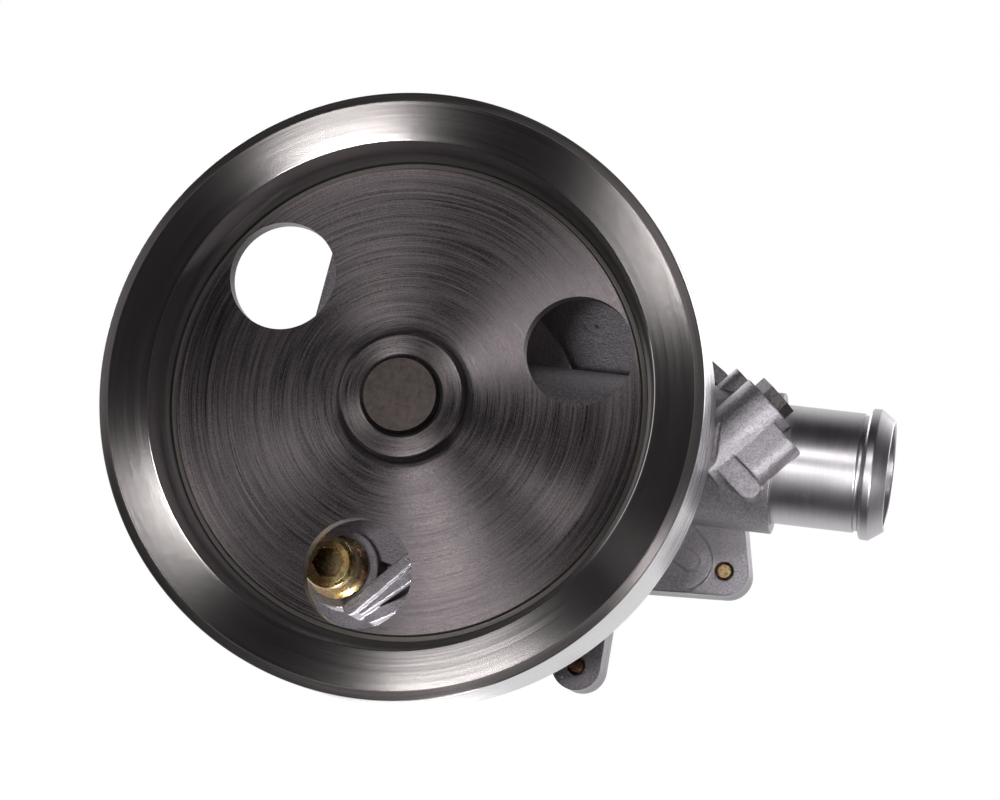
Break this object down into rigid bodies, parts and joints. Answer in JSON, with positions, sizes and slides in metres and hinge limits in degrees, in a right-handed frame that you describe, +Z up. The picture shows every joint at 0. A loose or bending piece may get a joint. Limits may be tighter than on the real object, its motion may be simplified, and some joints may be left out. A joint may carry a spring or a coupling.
{
  "type": "water pump",
  "caption": "Engine coolant pump: dished flat-belt pulley on a bearing shaft, cast housing with a hose outlet, impeller, seal and rear cover.",
  "frame": {"origin": "shaft axis at the engine face, in the middle of the pump inlet", "axes": "+Y along the shaft into the engine, +X towards the hose outlet, +Z up"},
  "size_m": [0.16, 0.0928, 0.124],
  "materials": {
    "turned_steel": "fine turned, bright",
    "ground_steel": "ground",
    "bearing_steel": "ground and polished",
    "tube_steel": "fine turned, satin",
    "spring_steel": "drawn wire",
    "black_steel": "dark phosphated",
    "yellow_zinc": "yellow chromate on zinc",
    "cast_aluminium": "fine sand cast",
    "seal_brass": "drawn",
    "cage_nylon": "glass-filled nylon",
    "impeller_plastic": "glass-filled, moulded",
    "carbon": "lapped carbon",
    "ceramic_white": "lapped",
    "nitrile": "moulded rubber",
    "gasket_fibre": "pressed fibre"
  },
  "bodies": {
    "housing": {"pump_housing": "cast_aluminium", "bearing_outer_race": "bearing_steel", "front_lip_seal": "nitrile", "rear_lip_seal": "nitrile", "seal_cup": "seal_brass", "seal_bellows": "nitrile", "seal_spring": "spring_steel", "carbon_ring": "carbon", "outlet_tube": "tube_steel", "lug_screw": "black_steel", "cover_gasket": "gasket_fibre", "rear_cover": "cast_aluminium", "cover_screws": "yellow_zinc", "inlet_o_ring": "nitrile", "mounting_bolts": "yellow_zinc", "locating_dowels": "ground_steel"},
    "rotor": {"pulley": "turned_steel", "bearing_shaft": "ground_steel", "slinger": "nitrile", "mating_ring": "ceramic_white", "mating_ring_cup": "nitrile", "impeller": "impeller_plastic", "impeller_bush": "bearing_steel"},
    "ball_set": {"bearing_balls": "bearing_steel", "ball_cage": "cage_nylon"},
    "roller_set": {"bearing_rollers": "bearing_steel", "roller_cage": "cage_nylon"}
  },
  "joints": [
    {"name": "rotor_spin", "type": "hinge", "parent": "housing", "child": "rotor", "pos_m": [0, 0, 0], "axis": [0, 1, 0], "continuous": true},
    {"name": "ball_set_spin", "type": "hinge", "parent": "housing", "child": "ball_set", "pos_m": [0, -0.048, 0], "axis": [0, 1, 0], "continuous": true},
    {"name": "roller_set_spin", "type": "hinge", "parent": "housing", "child": "roller_set", "pos_m": [0, -0.0352, 0], "axis": [0, 1, 0], "continuous": true}
  ],
  "couplings": [
    {"joint": "ball_set_spin", "follows": "rotor_spin", "ratio": 0.3665},
    {"joint": "roller_set_spin", "follows": "rotor_spin", "ratio": 0.4001}
  ]
}
